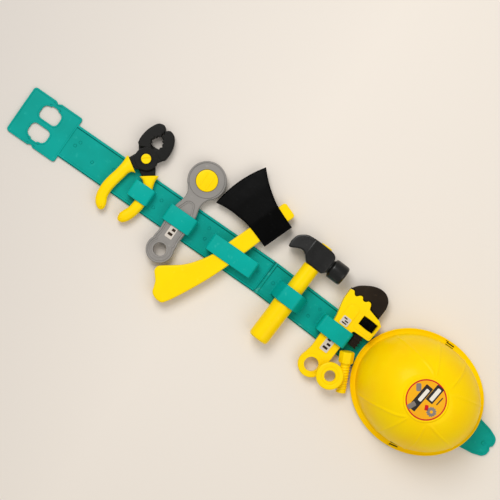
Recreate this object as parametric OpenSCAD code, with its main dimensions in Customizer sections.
// Toy tool belt lying open and flat, with the tools in its loops and the hard hat over its tail.
// X runs along the front section from the seam towards the tongue, Y across the belt, +Z up.
// The origin is on the floor, under the middle of the seam between the two belt sections.

/* [Belt] */
// Width of the strap
belt_w = 54.4; // [48:0.2:66]
// Thickness of the strap's floor
belt_t = 2.4; // [1.8:0.1:3.4]
// Height of the rims above the floor
rim_h = 1.2; // [0.6:0.1:2]
// Width of the rims
rim_w = 4.6; // [3:0.1:6]
// Length of the front section, from the end of its plate to the seam
front_len = 430; // [420:1:520]
// Length of the back section, from the seam to the tip of its tongue
back_len = 411; // [400:1:500]
// Angle between the two sections, as they lie
back_turn = 2.5; // [0:0.1:3]
// Length of the end plate
plate_len = 84; // [78:1:100]
// Width of the end plate
plate_w = 76; // [72:1:90]
// Length of each hole in the end plate, along the belt
hole_len = 31.5; // [24:0.5:36]
// Width of each hole in the end plate, across the belt
hole_w = 21.4; // [16:0.2:24]
// Web between the two holes
hole_web = 9; // [6:0.5:14]
// Length of the tab under the seam
lap_len = 17; // [15:1:18]
// Distance of the snap studs from the seam
stud_x = 11; // [9:0.5:12]
// Radius of the snap studs
stud_r = 2.6; // [1.5:0.1:4]

/* [Loops] */
// Length of every loop, across the belt
loop_len = 26; // [18:0.5:32]
// Wall of every loop
loop_wall = 2.6; // [1.8:0.1:3.6]
// Gap between a loop and the tool in it
loop_gap = 0.4; // [0.35:0.05:1]
// Place of the pliers loop along the front section
pliers_x = -215.2; // [-240:0.2:-205]
// Place of the ratchet loop along the front section
ratchet_x = -147.2; // [-160:0.2:-140]
// Place of the axe loop along the front section
axe_x = -55.9; // [-60:0.1:-50]
// Inner width of the axe loop
axe_loop_w = 71.8; // [69:0.1:76]
// Place of the hammer loop along the back section
hammer_x = 45.4; // [42:0.2:60]
// Place of the wrench loop along the back section
wrench_x = 126.6; // [118:0.2:128]

/* [Pliers] */
// Thickness of the jaws
jaw_t = 12; // [9:0.5:16]
// Radius of the half-lapped joint
lap_r = 17; // [14:0.5:19]
// Radius of the pivot's shank
pivot_r = 4; // [2.5:0.1:5]
// Radius of the pivot's head
pivot_head_r = 7.2; // [6:0.1:9]
// Width of a grip
grip_w = 17; // [12:0.5:18]
// Thickness of a grip
grip_t = 13; // [10:0.5:16]

/* [Ratchet] */
// Radius of the ratchet's head
head_r = 28.5; // [26:0.5:30]
// Radius of the dial
dial_r = 16; // [12:0.5:20]
// Distance from the dial to the hanging hole
ratchet_len = 119.4; // [105:0.2:125]
// Radius of the handle's round end
ratchet_end_r = 20.3; // [17:0.1:22]
// Radius of the hanging hole
ratchet_hole_r = 9.6; // [6:0.1:12]
// Thickness of the ratchet
ratchet_t = 14; // [10:0.5:18]
// Wall of the ratchet's shells
shell_wall = 2.2; // [1.6:0.1:3]

/* [Axe] */
// Length of the blade from its poll to its edge
blade_len = 98; // [90:0.5:99]
// Thickness of the blade at its eye
blade_t = 20; // [18:0.5:22]
// Thickness of the blade at its edge
blade_edge_t = 4; // [2:0.5:8]
// Thickness of the handle
haft_t = 14; // [10:0.5:15]
// Width of the handle in the eye
haft_w = 25; // [20:0.5:27]

/* [Hammer] */
// Radius of the grip
hammer_r = 15.6; // [12:0.1:17]
// Radius of the neck, under the head
hammer_neck_r = 12.4; // [9:0.1:13]
// Radius of the striking face
face_r = 15; // [12:0.5:16]
// Thickness of the head
hammer_head_t = 25; // [22:0.5:28]

/* [Wrench] */
// Thickness of the wrench's head
wrench_t = 16; // [15:0.5:18]
// Thickness of the wrench's handle
wrench_grip_t = 12; // [10:0.5:13]
// Radius of the handle's round end
ring_r = 19.4; // [16:0.1:20]
// Radius of the hanging hole
ring_hole_r = 10.4; // [7:0.1:12]
// Width of the jaw's threaded shank
jaw_shank_w = 14.4; // [12:0.2:14.8]
// Thickness of the jaw's threaded shank
jaw_shank_t = 7; // [5:0.5:8]
// Radius of the knurled nut
knurl_r = 11.4; // [10:0.1:11.8]
// Height of the knurled nut
knurl_h = 13.6; // [10:0.2:14]
// Pitch of the shank's thread
thread_pitch = 5; // [4:0.5:8]

/* [Bolt and nut] */
// Width of the bolt's head across its flats
bolt_flats = 19; // [16:0.5:20]
// Length of the bolt's head
bolt_head_h = 17; // [12:0.5:18]
// Length of the bolt's shank
bolt_shank_len = 44; // [36:1:46]
// Radius of the bolt's shank
bolt_r = 7.3; // [6:0.1:7.6]
// Number of ribs on the bolt's shank
bolt_ribs = 10; // [6:1:12]
// Radius of the loose nut
nut_r = 20; // [17:0.5:21]
// Radius of the hole in the loose nut
nut_hole_r = 8; // [7.8:0.1:10]
// Thickness of the loose nut
nut_h = 9; // [7:0.5:12]

/* [Hard hat] */
// Length of the hat over its brim
hat_len = 202; // [195:1:210]
// Width of the hat over its brim
hat_w = 176; // [165:1:190]
// Height of the hat
hat_h = 102; // [90:1:120]
// Width of the brim
brim_w = 8; // [6:0.5:12]
// Wall of the hat
hat_wall = 2.4; // [1.8:0.1:3.4]
// Radius of the badge
badge_r = 28.6; // [24:0.2:32]

/* [Hidden] */

$fn = 64;
part_gap = 0.3;      // between pieces that move past each other
snap_gap = 0.15;     // between a stud or a foot and its hole
run_gap = 0.05;      // between a pivot and its bore
belt_top = belt_t + rim_h;
tool_z = belt_top + 0.4;          // underside of every tool
loop_y = -1.8;                    // the loops sit a little off the belt's middle
foot_len = 12;
lap_t = belt_t / 2;

teal = [0.0, 0.62, 0.56];
yellow = [1.0, 0.84, 0.0];
black = [0.07, 0.07, 0.07];
grey = [0.58, 0.57, 0.57];

// ---- shared shapes ----

function arc(cx, cy, r, a0, a1, n = 8) =
    [for (i = [0 : n]) [cx + r * cos(a0 + (a1 - a0) * i / n), cy + r * sin(a0 + (a1 - a0) * i / n)]];

// A smooth curve through a few points, n steps between each two of them
function spline_point(a, b, c, d, t) =
    0.5 * (2 * b + (c - a) * t + (2 * a - 5 * b + 4 * c - d) * t * t
           + (3 * b - a - 3 * c + d) * t * t * t);
function spline(p, n = 5) = concat(
    [for (i = [0 : len(p) - 2], k = [0 : n - 1])
        spline_point(p[max(i - 1, 0)], p[i], p[i + 1], p[min(i + 2, len(p) - 1)], k / n)],
    [p[len(p) - 1]]);

function mirrored(p) = [for (i = [len(p) - 1 : -1 : 0]) [-p[i][0], p[i][1]]];

// A plate with a step around both of its faces, so that its edges look rounded
module slab(z, t, edge) {
    translate([0, 0, z + edge]) linear_extrude(t - 2 * edge) children();
    translate([0, 0, z]) linear_extrude(t) offset(delta = -edge) children();
}

module rounded(w, h, r) {
    hull() {
        for (x = [-1, 1], y = [-1, 1]) {
            translate([x * (w / 2 - r), y * (h / 2 - r)]) circle(r, $fn = 32);
        }
    }
}

// A closed body from rings with equal numbers of points, each ring one list of points
module skin(rings) {
    n = len(rings[0]);
    m = len(rings);
    faces = concat(
        [[for (i = [0 : n - 1]) i]],
        [for (j = [0 : m - 2], i = [0 : n - 1])
            each [[j * n + i, (j + 1) * n + (i + 1) % n, j * n + (i + 1) % n],
                  [j * n + i, (j + 1) * n + i, (j + 1) * n + (i + 1) % n]]],
        [[for (i = [n - 1 : -1 : 0]) (m - 1) * n + i]]);
    polyhedron([for (r = rings) each r], faces);
}

// ---- places ----

module back_section() { rotate(-back_turn) children(); }

// ---- belt ----

seam_gap = 0.4;
seam_wedge = belt_w / 2 * tan(back_turn) + 1;

module strap_rim(x0, x1) {
    for (side = [-1, 1]) {
        y = side > 0 ? belt_w / 2 - rim_w : -belt_w / 2;
        translate([x0, y, 0]) cube([x1 - x0, rim_w, belt_top]);
    }
}

module loop_slots(x, inner_w) {
    for (side = [-1, 1]) {
        translate([x + side * (inner_w + loop_wall) / 2, loop_y, belt_t / 2])
            cube([loop_wall + 2 * snap_gap, foot_len + 2 * snap_gap, 2 * belt_t], center = true);
    }
}

// One hole of the end plate, with a small bulge on its outer side
module plate_hole(side) {
    cy = side * (hole_web + hole_w) / 2;
    translate([0, cy]) rounded(hole_len, hole_w, 8);
    translate([0, cy + side * hole_w / 2]) rounded(12, 5, 2.4);
}

module belt_front() {
    plate_mid = -front_len + plate_len / 2;
    color(teal) difference() {
        union() {
            translate([-front_len + plate_len - 8, -belt_w / 2, 0])
                cube([front_len - plate_len + 8 + seam_wedge, belt_w, belt_t]);
            strap_rim(-front_len + plate_len - 2, seam_wedge);
            translate([plate_mid, 0, 0]) linear_extrude(belt_top) difference() {
                rounded(plate_len, plate_w, 5);
                for (side = [-1, 1]) {
                    translate([0, side * (plate_w / 2 + 1)]) circle(4);
                    plate_hole(side);
                }
            }
        }
        // the end is cut square to the back section, as that lies
        back_section() translate([-seam_gap / 2, -belt_w, -1]) cube([belt_w, 2 * belt_w, belt_top + 2]);
        loop_slots(pliers_x, pliers_loop_w);
        loop_slots(ratchet_x, ratchet_loop_w);
        loop_slots(axe_x, axe_loop_w);
        translate([-stud_x, 0, -1]) cylinder(belt_t + 2, r = stud_r + snap_gap);
        rotate(-back_turn) translate([-lap_len - part_gap, -belt_w / 2 + rim_w, -1])
            cube([lap_len + 9, belt_w - 2 * rim_w, 1 + lap_t + snap_gap]);
    }
}

module tongue() {
    tip_r = 14;
    hull() {
        translate([back_len - 45, -belt_w / 2]) square([1, belt_w]);
        for (side = [-1, 1]) {
            translate([back_len - 22, side * 9]) circle(tip_r);
            translate([back_len - tip_r, side * 6]) circle(tip_r);
        }
    }
}

module belt_back() {
    start = seam_gap / 2;
    color(teal) back_section() difference() {
        union() {
            translate([start, -belt_w / 2, 0]) cube([back_len - 44 - start, belt_w, belt_t]);
            strap_rim(start, back_len - 44);
            translate([start, -belt_w / 2, 0]) cube([5, belt_w, belt_top]);
            linear_extrude(belt_t) tongue();
            translate([back_len - 13, 0, 0]) cylinder(belt_t + 1.2, r = 3);
            translate([-lap_len, -belt_w / 2 + rim_w + snap_gap, 0])
                cube([lap_len + 5, belt_w - 2 * (rim_w + snap_gap), lap_t]);
            translate([-stud_x, 0, 0]) cylinder(belt_t + 0.3, r = stud_r);
            translate([stud_x + 4, 0, 0]) cylinder(belt_t + 0.3, r = stud_r);
        }
        translate([back_len + 1.5, 0, -1]) cylinder(belt_t + 2, r = 3);
        loop_slots(hammer_x, hammer_loop_w);
        loop_slots(wrench_x, wrench_loop_w);
    }
}

// ---- loops ----

// A loop with upright legs, and feet that stand in the belt's slots
module loop(x, inner_w, inner_z) {
    outer_w = inner_w + 2 * loop_wall;
    top = inner_z + loop_wall;
    translate([x, loop_y, 0]) {
        difference() {
            translate([0, 0, belt_t]) linear_extrude(top - belt_t) rounded(outer_w, loop_len, 3);
            translate([-inner_w / 2, -loop_len, 0]) cube([inner_w, 2 * loop_len, inner_z]);
        }
        for (side = [-1, 1]) {
            translate([side * (inner_w + loop_wall) / 2 - loop_wall / 2, -foot_len / 2, 0.2])
                cube([loop_wall, foot_len, belt_t]);
        }
    }
}

// A taller loop with sloping legs, for the round grip
module arched_loop(x, inner_w, inner_z, top_w) {
    outline = [[-inner_w / 2 - loop_wall, belt_t], [inner_w / 2 + loop_wall, belt_t],
               [inner_w / 2 + loop_wall, belt_t + 3], [top_w / 2 + loop_wall, inner_z + loop_wall],
               [-top_w / 2 - loop_wall, inner_z + loop_wall], [-inner_w / 2 - loop_wall, belt_t + 3]];
    window = [[-inner_w / 2, 0], [inner_w / 2, 0], [inner_w / 2, belt_t + 3], [top_w / 2, inner_z],
              [-top_w / 2, inner_z], [-inner_w / 2, belt_t + 3]];
    translate([x, loop_y, 0]) {
        rotate([90, 0, 0]) translate([0, 0, -loop_len / 2]) linear_extrude(loop_len) difference() {
            polygon(outline);
            polygon(window);
        }
        for (side = [-1, 1]) {
            translate([side * (inner_w + loop_wall) / 2 - loop_wall / 2, -foot_len / 2, 0.2])
                cube([loop_wall, foot_len, belt_t]);
        }
    }
}

pliers_loop_w = 29;
ratchet_loop_w = 2 * (ratchet_end_r + loop_gap);
hammer_loop_w = 2 * hammer_r + 13.5;
wrench_loop_w = 2 * ring_r + 7;

module pliers_loop() { color(teal) loop(pliers_x, pliers_loop_w, tool_z + grip_t + loop_gap); }
module ratchet_loop() { color(teal) loop(ratchet_x, ratchet_loop_w, tool_z + ratchet_t + loop_gap); }
module axe_loop() { color(teal) loop(axe_x, axe_loop_w, tool_z + haft_t + 3 + loop_gap); }
module hammer_loop() {
    color(teal) back_section()
        arched_loop(hammer_x, hammer_loop_w, tool_z + 2 * hammer_r + loop_gap, 1.5 * hammer_r);
}
module wrench_loop() {
    color(teal) back_section()
        arched_loop(wrench_x, wrench_loop_w, tool_z + wrench_t + loop_gap, wrench_loop_w - 1.6);
}

// ---- pliers, around their pivot ----

pliers_at = [pliers_x - 21.8, 42.5, tool_z];
lap_z = jaw_t / 2;

module at_pliers() { translate(pliers_at) children(); }

// Outline of the right jaw and its cheek, from the tip down; the left one is its mirror image
jaw_side = spline([[1.2, 50], [8, 53], [15.5, 49], [22, 38], [24.5, 24], [23.5, 13]], 5);

module jaw_shape() {
    difference() {
        polygon(concat([[part_gap / 2, lap_r + 1.2], [part_gap / 2, 49]], jaw_side,
                       [[18.5, lap_r * 0.55], [16.5, lap_r * 0.75], [9, lap_r + 1.2]]));
        circle(lap_r + 0.4);
        translate([0, 28]) rounded(18, 20, 6);
    }
}

// Cheek that carries a jaw: a disc with an arm that ends flush with the collar of its own grip,
// from the arm's outer corner to its inner one
module cheek_shape(outer, inner) {
    circle(lap_r);
    polygon([[0, 0], [16.2, -2], outer, inner, [-4, -16]]);
}

// side is 1 for the half whose jaw is on the right and whose grip is on the left
module pliers_half(side) {
    z0 = side > 0 ? lap_z + part_gap / 2 : 0;
    difference() {
        union() {
            mirror([side > 0 ? 0 : 1, 0, 0]) {
                linear_extrude(jaw_t) jaw_shape();
                translate([0, 0, z0]) linear_extrude(lap_z - part_gap / 2) {
                    mirror([1, 0]) if (side > 0) cheek_shape([22, -12.7], [5, -22]);
                    else cheek_shape([24, -12.9], [7.5, -24.2]);
                    intersection() {
                        circle(lap_r + 4);
                        translate([part_gap / 2, 0]) square([lap_r + 4, lap_r + 4]);
                        union() {
                            circle(lap_r);
                            polygon([[0, 0], [16, 7], [23, 13], [9, 21], [0, 21]]);
                        }
                    }
                }
            }
        }
        translate([0, 0, -1]) cylinder(jaw_t + 2, r = pivot_r + (side > 0 ? run_gap : 0.02));
    }
}

module pliers_jaw_left() { color(black) at_pliers() pliers_half(-1); }
module pliers_jaw_right() { color(black) at_pliers() pliers_half(1); }

module pliers_pivot() {
    color(yellow) at_pliers() difference() {
        union() {
            cylinder(jaw_t + 0.4, r = pivot_r);
            translate([0, 0, jaw_t + 0.2]) cylinder(1.4, r = pivot_head_r);
            translate([0, 0, jaw_t + 1.5]) cylinder(1.1, r1 = pivot_head_r, r2 = pivot_head_r - 1.4);
        }
        translate([-pivot_head_r, -0.7, jaw_t + 1.6]) cube([2 * pivot_head_r, 1.4, 2]);
    }
}

// Centre lines of the grips, with their half width at each point, from the flared collar down
grip_line_right = spline([[17, -18.1, 13.6], [18.3, -20, 12.4], [21, -24.4, 9], [23.6, -29.8, 7.6],
                          [26.2, -38, 7.8], [27.4, -48, 8], [27.8, -60, 8.2], [26.8, -69, 8.1],
                          [25, -76, 8.2], [21.4, -84.4, 8.4], [18.2, -90, 7], [15.6, -92.9, 4.6],
                          [14.2, -94.2, 1.6]], 4);
grip_line_left = spline([[-13.4, -17.8, 13.8], [-14.6, -20, 12.6], [-16.8, -25, 9.4],
                         [-18.4, -31, 8.3], [-20.2, -41, 8.2], [-22.8, -53, 8.3], [-24.4, -65.6, 8.3],
                         [-23.2, -79, 8.2], [-19.4, -87, 8.3], [-15.6, -92.4, 6.6],
                         [-13.2, -95.4, 4.2], [-12.2, -96.6, 1.6]], 4);

function grip_ring(line, i, n = 16) =
    let (a = line[max(i - 1, 0)], b = line[min(i + 1, len(line) - 1)],
         p = line[i], d = [b[0] - a[0], b[1] - a[1]] / norm([b[0] - a[0], b[1] - a[1]]),
         w = p[2] * grip_w / 17, h = min(1, p[2] / 8))
    [for (k = [0 : n - 1]) [p[0] - d[1] * w * cos(360 * k / n), p[1] + d[0] * w * cos(360 * k / n),
                            grip_t / 2 * (1 + h * sin(360 * k / n))]];

module grip(line) { skin([for (i = [0 : len(line) - 1]) grip_ring(line, i)]); }

module pliers_grip_right() { color(yellow) at_pliers() grip(grip_line_right); }
module pliers_grip_left() { color(yellow) at_pliers() grip(grip_line_left); }

// ---- ratchet spanner, around its dial ----

ratchet_at = [ratchet_x, 66.4, tool_z];
ratchet_mid = ratchet_t / 2;

module at_ratchet() { translate(ratchet_at) children(); }

ratchet_side = spline([[-20.4, -20], [-13.4, -31], [-14.2, -41], [-18, -54], [-18.2, -78],
                       [-17, -97], [-18.4, -110.6]], 4);

module ratchet_outline() {
    circle(head_r);
    translate([0, -ratchet_len]) circle(ratchet_end_r);
    polygon(concat(ratchet_side, mirrored(ratchet_side)));
}

module ratchet_shell(z, t, floor_z) {
    difference() {
        translate([0, 0, z]) linear_extrude(t) difference() {
            ratchet_outline();
            circle(dial_r + part_gap);
        }
        translate([0, 0, floor_z]) linear_extrude(t - shell_wall) difference() {
            offset(delta = -shell_wall) ratchet_outline();
            circle(dial_r + part_gap + 3.5 + shell_wall);
            translate([0, -ratchet_len]) circle(ratchet_hole_r + shell_wall);
        }
        translate([0, 0, ratchet_mid - 1.2]) cylinder(2.4, r = dial_r + 3 + part_gap);
        translate([0, -ratchet_len, -1]) cylinder(ratchet_t + 2, r = ratchet_hole_r);
    }
}

module ratchet_front_shell() {
    color(grey) at_ratchet() ratchet_shell(ratchet_mid, ratchet_mid, ratchet_mid - 0.1);
}
module ratchet_back_shell() {
    color(grey) at_ratchet() ratchet_shell(0, ratchet_mid, shell_wall + 0.1);
}
module ratchet_label() {
    color("silver") at_ratchet() translate([0, -90, ratchet_t])
        linear_extrude(0.3) rounded(12, 27, 1.5);
}
module ratchet_dial() {
    color(yellow) at_ratchet() {
        translate([0, 0, 0.2]) cylinder(ratchet_t - 0.4, r = dial_r);
        translate([0, 0, ratchet_mid - 1]) cylinder(2, r = dial_r + 3);
        for (i = [-1, 1]) {
            translate([-1.2 + 5.5 * i, -dial_r * 0.7, ratchet_t - 0.5])
                cube([2.4, dial_r * 1.4, 0.9]);
        }
    }
}

// ---- axe, around the middle of its eye ----

axe_at = [axe_x + 19.2, 69.2, tool_z + 3];
axe_turn = -20.1;

module at_axe() { translate(axe_at) rotate(axe_turn) children(); }

poll_x = 22.4;
edge_x = poll_x - blade_len;
blade_top = spline([[poll_x, 20.4], [-13, 21.4], [-36, 26.4], [-54, 32.6], [edge_x + 5.8, 40.2]], 5);
blade_low = spline([[edge_x + 5.8, -48], [-54, -40], [-37, -34.2], [-14, -29], [poll_x, -27.6]], 5);
blade_edge = spline([[edge_x + 5.8, 40.2], [edge_x + 0.8, 20], [edge_x, -4], [edge_x + 1, -27],
                     [edge_x + 5.8, -48]], 5);

haft_side = spline([[-haft_w / 2, 30], [-haft_w / 2, 0], [-haft_w / 2, -64], [-12.2, -94],
                    [-16.4, -116], [-24.4, -138], [-41, -164], [-43.4, -170.6], [-41, -176.6],
                    [-34.5, -180.4], [-27.4, -185], [-22, -191.6], [-17.4, -196.8], [-9.5, -198.6],
                    [-1.5, -197], [4, -192], [8.8, -168], [13.3, -124], [14.2, -84],
                    [haft_w / 2, -29], [haft_w / 2, 0], [haft_w / 2, 30]], 5);

module haft_outline() { polygon(concat([[9, 33], [-9, 33]], haft_side)); }

module axe_blade() {
    half = haft_t / 2;
    color(black) at_axe() difference() {
        intersection() {
            translate([0, 0, half - blade_t / 2]) linear_extrude(blade_t)
                polygon(concat(blade_top, blade_edge, blade_low));
            rotate([90, 0, 0]) translate([0, 0, -60]) linear_extrude(120)
                polygon([[poll_x, half - blade_t / 2], [poll_x, half + blade_t / 2],
                         [-14, half + blade_t / 2], [-48, half + blade_t / 3.4],
                         [edge_x, half + blade_edge_t / 2], [edge_x, half - blade_edge_t / 2],
                         [-48, half - blade_t / 3.4], [-14, half - blade_t / 2]]);
        }
        translate([-haft_w / 2 - snap_gap, -60, -snap_gap])
            cube([haft_w + 2 * snap_gap, 120, haft_t + 2 * snap_gap]);
    }
}
module axe_handle() { color(yellow) at_axe() slab(0, haft_t, 1.6) haft_outline(); }

// ---- hammer, around the handle's axis under the head ----

hammer_mid = tool_z + hammer_r;

module at_hammer() {
    back_section() translate([hammer_x - 0.6, 52.5, hammer_mid]) children();
}

head_top = spline([[-46.4, 12.6], [-44, 22.8], [-38.2, 29], [-30.4, 33.4], [-18.4, 35], [0, 35],
                   [13, 34], [20, 27.4]], 4);
head_low = spline([[-11, 0], [-15.5, 4.6], [-19.6, 8.7], [-25.5, 11.2], [-32.4, 9.2], [-41.5, 4]], 4);

module hammer_head() {
    color(black) at_hammer() difference() {
        union() {
            translate([0, 0, -hammer_head_t / 2]) linear_extrude(hammer_head_t)
                intersection() {
                    polygon(concat(head_top, [[20, 5], [16, 0]], head_low, [[-45, 4.6]]));
                    translate([-19, -10]) square([60, 60]);
                }
            intersection() {
                translate([0, 0, -hammer_head_t / 2]) linear_extrude(hammer_head_t)
                    polygon(concat(head_top, [[20, 5], [16, 0]], head_low, [[-45, 4.6]]));
                rotate([90, 0, 0]) translate([0, 0, -50]) linear_extrude(100)
                    polygon([[-18, -hammer_head_t / 2], [-18, hammer_head_t / 2],
                             [-47, hammer_head_t / 2 - 2], [-47, -hammer_head_t / 2 + 2]]);
            }
            translate([19, 16.2, 0]) rotate([0, 90, 0]) cylinder(5, r = face_r * 0.72);
            translate([22.5, 16.2, 0]) rotate([0, 90, 0]) cylinder(2.4, r1 = face_r - 2, r2 = face_r);
            translate([24.8, 16.2, 0]) rotate([0, 90, 0]) cylinder(19, r = face_r);
            translate([43.7, 16.2, 0]) rotate([0, 90, 0]) cylinder(2.6, r1 = face_r, r2 = face_r - 2.4);
        }
        translate([0, 60, 0]) rotate([90, 0, 0]) cylinder(70, r = 9 + snap_gap);
        // the claw's notch, wider towards its tip
        linear_extrude(9, center = true) polygon([[-50, -10], [-50, 40], [-49.9, 40], [-49.9, -10]]);
        rotate([90, 0, 0]) translate([0, 0, -50]) linear_extrude(100)
            polygon([[-25, 0], [-50, 4.5], [-50, -4.5]]);
    }
}
module hammer_handle() {
    grip_end = -130;
    color(yellow) at_hammer() rotate([-90, 0, 0]) {
        translate([0, 0, grip_end]) rotate_extrude() polygon(concat(
            [[0, 0]], arc(hammer_r - 4, 4, 4, -90, 0, 6),
            [[hammer_r - 0.3, 48], [hammer_r, 60], [hammer_r - 0.6, 66], [hammer_neck_r + 0.6, 76],
             [hammer_neck_r, 84], [hammer_neck_r, 129.8], [9, 129.8], [9, 166], [8, 167], [0, 167]]));
    }
}

// ---- pipe wrench, around the ring's hole ----

wrench_turn = -0.5;

module at_wrench() {
    back_section() translate([wrench_x + 2.2, -59.4, tool_z]) rotate(wrench_turn) children();
}

shank_x = 30;
window_y = 94.6;
split_z = wrench_t / 2;
window_w = 2 * knurl_r + 1.4;

wrench_left = spline([[-21.4, 120.4], [-20.8, 104], [-17.8, 91], [-14, 76], [-13.2, 62], [-16.4, 46],
                      [-15.6, 24], [-16.8, 14], [-18.6, 5]], 4);
// the fixed jaw's teeth, which the hook jaw's teeth sit in
jaw_teeth = spline([[17, 118], [14.4, 121.4], [10.6, 121.8], [7, 118.4], [3, 118], [-0.6, 121.8],
                    [-4.4, 121], [-8.4, 116.8], [-12, 117.6], [-15.6, 121.4], [-21.4, 120.4]], 3);

module wrench_outline() {
    circle(ring_r);
    polygon(concat(jaw_teeth, wrench_left, [[17.6, 5], [18.4, 30], [18.4, 60]]));
    polygon([[12, 74], [45.6, 76], [46.6, 104], [40, 108.4], [19, 113.2], [12, 113]]);
    polygon([[0, 50], [18.4, 56], [18.4, 112], [0, 112]]);
}

// Every hole that the wrench's two shells share
module wrench_cuts() {
    translate([0, 0, -1]) cylinder(wrench_t + 2, r = ring_hole_r);
    translate([shank_x - window_w / 2, window_y - knurl_h / 2 - part_gap, -1])
        cube([window_w, knurl_h + 2 * part_gap, wrench_t + 2]);
    translate([shank_x - jaw_shank_w / 2 - part_gap, 60, split_z - jaw_shank_t / 2 - part_gap])
        cube([jaw_shank_w + 2 * part_gap, 70, jaw_shank_t + 2 * part_gap]);
}

module wrench_front_shell() {
    color(yellow) at_wrench() difference() {
        union() {
            translate([0, 0, split_z]) linear_extrude(wrench_grip_t - split_z) wrench_outline();
            translate([0, 0, split_z]) linear_extrude(wrench_t - split_z) intersection() {
                wrench_outline();
                translate([-40, 66]) square([120, 80]);
            }
            translate([0, 0, split_z]) linear_extrude(wrench_grip_t - split_z + 1) intersection() {
                offset(delta = -4) wrench_outline();
                translate([-40, 22]) square([55, 60]);
            }
        }
        wrench_cuts();
    }
}
module wrench_back_shell() {
    color(yellow) at_wrench() difference() {
        linear_extrude(split_z) wrench_outline();
        wrench_cuts();
        translate([0, 0, -1]) linear_extrude(split_z - shell_wall + 1) difference() {
            offset(delta = -shell_wall - 1) intersection() {
                wrench_outline();
                translate([-40, 14]) square([57, 96]);
            }
            translate([-40, 44]) square([80, 2]);
            translate([-40, 74]) square([80, 2]);
        }
    }
}
module wrench_label() {
    color("white") at_wrench() {
        translate([1.4, 37, wrench_grip_t + 1]) linear_extrude(0.3) rounded(13, 23, 2);
        translate([1.4, 77, wrench_t]) linear_extrude(0.3) rounded(13, 13, 2);
    }
}

hook_outer = spline([[-19.8, 123], [-14, 131.4], [-2, 140.4], [8, 145.2], [17, 146.6], [26, 144.6],
                     [33.4, 138.2], [36.8, 129], [37.4, 118]], 4);

module hook_shape() {
    difference() {
        polygon(concat([[-20.6, 120.6 + part_gap]], hook_outer, [[37.4, 109.6], [19, 114.4], [17.4, 118]],
                       jaw_teeth));
        offset(delta = part_gap) wrench_outline();
    }
}

// Saw teeth down both edges of the shank
function thread_edge(side, y0, y1) =
    [for (i = [0 : floor((y1 - y0) / thread_pitch) - 1])
        each [[shank_x + side * jaw_shank_w / 2, y0 + i * thread_pitch + 0.5],
              [shank_x + side * (jaw_shank_w / 2 - 1.4), y0 + (i + 0.5) * thread_pitch],
              [shank_x + side * jaw_shank_w / 2, y0 + (i + 1) * thread_pitch - 0.5]]];
function reversed(p) = [for (i = [len(p) - 1 : -1 : 0]) p[i]];

module wrench_hook_jaw() {
    y0 = 55;
    y1 = 105;
    color(black) at_wrench() {
        translate([0, 0, split_z - wrench_t / 2 + 1.2]) linear_extrude(wrench_t - 2.4) hook_shape();
        translate([0, 0, split_z - jaw_shank_t / 2]) linear_extrude(jaw_shank_t)
            polygon(concat([[shank_x - jaw_shank_w / 2, y0]], thread_edge(-1, y0, y1),
                           [[shank_x - jaw_shank_w / 2, y1], [shank_x - jaw_shank_w / 2, 125],
                            [shank_x + jaw_shank_w / 2, 125], [shank_x + jaw_shank_w / 2, y1]],
                           reversed(thread_edge(1, y0, y1)), [[shank_x + jaw_shank_w / 2, y0]]));
    }
}

module wrench_knurled_nut() {
    ribs = 24;
    bore_r = norm([jaw_shank_w, jaw_shank_t]) / 2 + part_gap;
    color(black) at_wrench() translate([shank_x, window_y + knurl_h / 2, split_z]) rotate([90, 0, 0])
        difference() {
            cylinder(knurl_h, r = knurl_r);
            translate([0, 0, -1]) cylinder(knurl_h + 2, r = bore_r);
            for (i = [0 : ribs - 1]) {
                rotate(360 * i / ribs) translate([knurl_r, 0, 1.4])
                    rotate(45) cube([1, 1, 2 * knurl_h - 5.6], center = true);
            }
        }
}

// ---- loose bolt and nut ----

bolt_turn = 26;
// The head lies on the belt and the shank's end on the floor
bolt_z = belt_top + part_gap + bolt_flats / 2;
bolt_dip = asin((bolt_z - bolt_r - 0.1) / bolt_shank_len);

module toy_bolt() {
    pitch = (bolt_shank_len - 3) / bolt_ribs;
    color(yellow) translate([165.9, -35.5, bolt_z]) rotate(bolt_turn) rotate([90 + bolt_dip, 0, 0]) {
        translate([0, 0, -bolt_head_h])
            cylinder(bolt_head_h, r = bolt_flats / 2 / cos(30), $fn = 6);
        translate([0, 0, -0.1]) cylinder(bolt_shank_len, r = bolt_r - 1);
        for (i = [0 : bolt_ribs - 1]) {
            translate([0, 0, 2 + i * pitch]) cylinder(pitch * 0.55, r = bolt_r);
        }
    }
}

module toy_nut() {
    // it lies on the bolt's shank, at this distance from the bolt's head
    reach = 22;
    nut_z = bolt_z - reach * sin(bolt_dip) + bolt_r + 2 * part_gap;
    color(yellow) translate([156.8, -63.4, nut_z]) difference() {
        rotate_extrude() polygon(concat(
            [[0, 0], [nut_r - 1.5, 0], [nut_r, 1.5]], arc(nut_r - 2, nut_h - 2, 2, 0, 90, 5),
            [[nut_hole_r + 4.4, nut_h - 1.2], [nut_hole_r + 3.6, nut_h], [0, nut_h]]));
        translate([0, 0, -1]) cylinder(nut_h + 2, r = nut_hole_r);
    }
}

// ---- hard hat, around the middle of its brim ----

hat_at = [275.4, -11.6, belt_top + 0.5];
brim_t = 2.6;
boss_r = badge_r + 2.6;
boss_h = 2;
dome_power = 2.35;
hat_sides = 56;
dome_rings = 10;

function oval(rx, ry, z) =
    [for (i = [0 : hat_sides - 1]) [rx * cos(360 * i / hat_sides), ry * sin(360 * i / hat_sides), z]];

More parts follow.
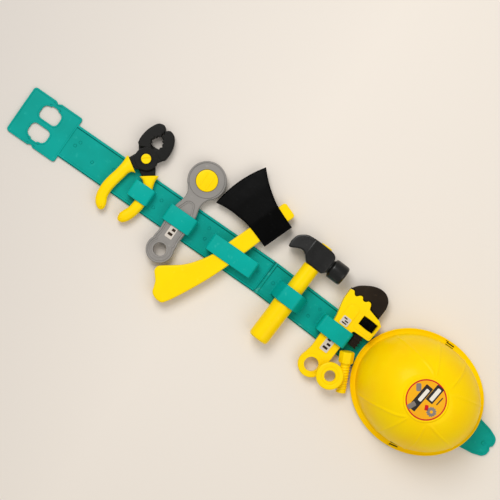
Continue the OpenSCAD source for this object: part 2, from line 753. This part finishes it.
// One ring of the dome, t from 0 at the brim to 1 at the boss, inset by the wall
dome_end = acos(pow((boss_r + 1.5) / (hat_w / 2 - brim_w), dome_power / 2));
function dome_ring(t, inset) =
    let (s = pow(cos(dome_end * t), 2 / dome_power),
         rise = pow(sin(dome_end * t) / sin(dome_end), 2 / dome_power))
    oval((hat_len / 2 - brim_w - inset) * s, (hat_w / 2 - brim_w - inset) * s,
         brim_t + (hat_h - brim_t - boss_h - inset) * rise);

module helmet_shell() {
    outer = [for (i = [0 : dome_rings]) dome_ring(i / dome_rings, 0)];
    inner = [for (i = [dome_rings : -1 : 0]) dome_ring(i / dome_rings, hat_wall)];
    rings = concat(
        [oval(hat_len / 2, hat_w / 2, 0), oval(hat_len / 2, hat_w / 2, brim_t)],
        outer, [oval(boss_r, boss_r, hat_h - boss_h), oval(boss_r, boss_r, hat_h)]);
    color([0.98, 0.8, 0]) translate(hat_at) difference() {
        skin(rings);
        skin(concat([oval(hat_len / 2 - brim_w - hat_wall, hat_w / 2 - brim_w - hat_wall, -1)],
                    reversed(inner)));
    }
}
module helmet_badge() {
    color("orange") translate([hat_at[0], hat_at[1], hat_at[2] + hat_h])
        cylinder(0.5, r = badge_r);
}
module helmet_headband() {
    band_h = 18;
    color(black) translate([hat_at[0], hat_at[1], hat_at[2] + 1]) linear_extrude(band_h)
        difference() {
            scale_x = (hat_len / 2 - brim_w - hat_wall) - 7;
            scale_y = (hat_w / 2 - brim_w - hat_wall) - 7;
            polygon([for (i = [0 : 47]) [scale_x * cos(7.5 * i), scale_y * sin(7.5 * i)]]);
            polygon([for (i = [0 : 47])
                [(scale_x - 1.6) * cos(7.5 * i), (scale_y - 1.6) * sin(7.5 * i)]]);
        }
}

belt_front();
belt_back();
pliers_loop();
ratchet_loop();
axe_loop();
hammer_loop();
wrench_loop();
pliers_jaw_left();
pliers_grip_right();
pliers_pivot();
pliers_jaw_right();
pliers_grip_left();
ratchet_front_shell();
ratchet_back_shell();
ratchet_label();
ratchet_dial();
axe_blade();
axe_handle();
hammer_head();
hammer_handle();
wrench_front_shell();
wrench_back_shell();
wrench_label();
wrench_hook_jaw();
wrench_knurled_nut();
toy_bolt();
toy_nut();
helmet_shell();
helmet_badge();
helmet_headband();
